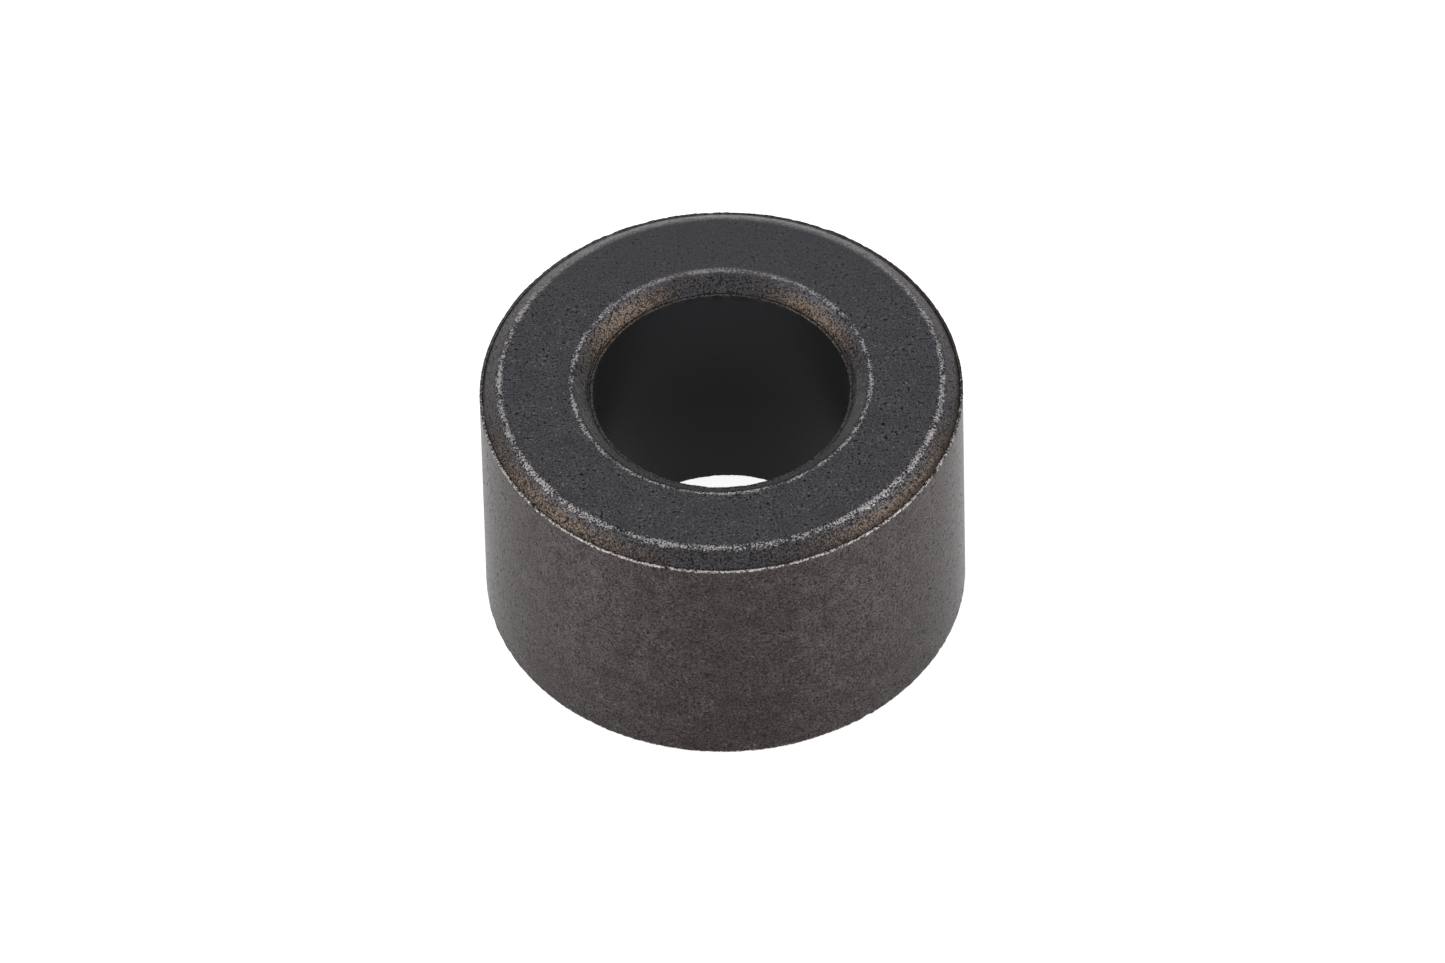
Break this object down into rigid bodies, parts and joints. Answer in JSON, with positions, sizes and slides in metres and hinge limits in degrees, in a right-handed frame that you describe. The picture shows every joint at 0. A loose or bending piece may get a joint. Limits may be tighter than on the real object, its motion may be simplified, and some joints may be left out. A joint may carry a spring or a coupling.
{
  "type": "sleeve bushing",
  "caption": "Plain cylindrical sleeve bushing of sintered bronze, a thick ring with a shaft bore and lead chamfers inside and out at both ends.",
  "frame": {"origin": "on the bore axis, in the plane of the lower end face", "axes": "+Z along the bore axis, from the lower end face towards the upper one; the sleeve is a solid of revolution, so +X and +Y are any two square directions"},
  "size_m": [0.016, 0.016, 0.01],
  "materials": {
    "sintered_bronze": "satin sintered, darkened by oil"
  },
  "bodies": {
    "root": {"bushing_sleeve": "sintered_bronze"}
  },
  "joints": []
}
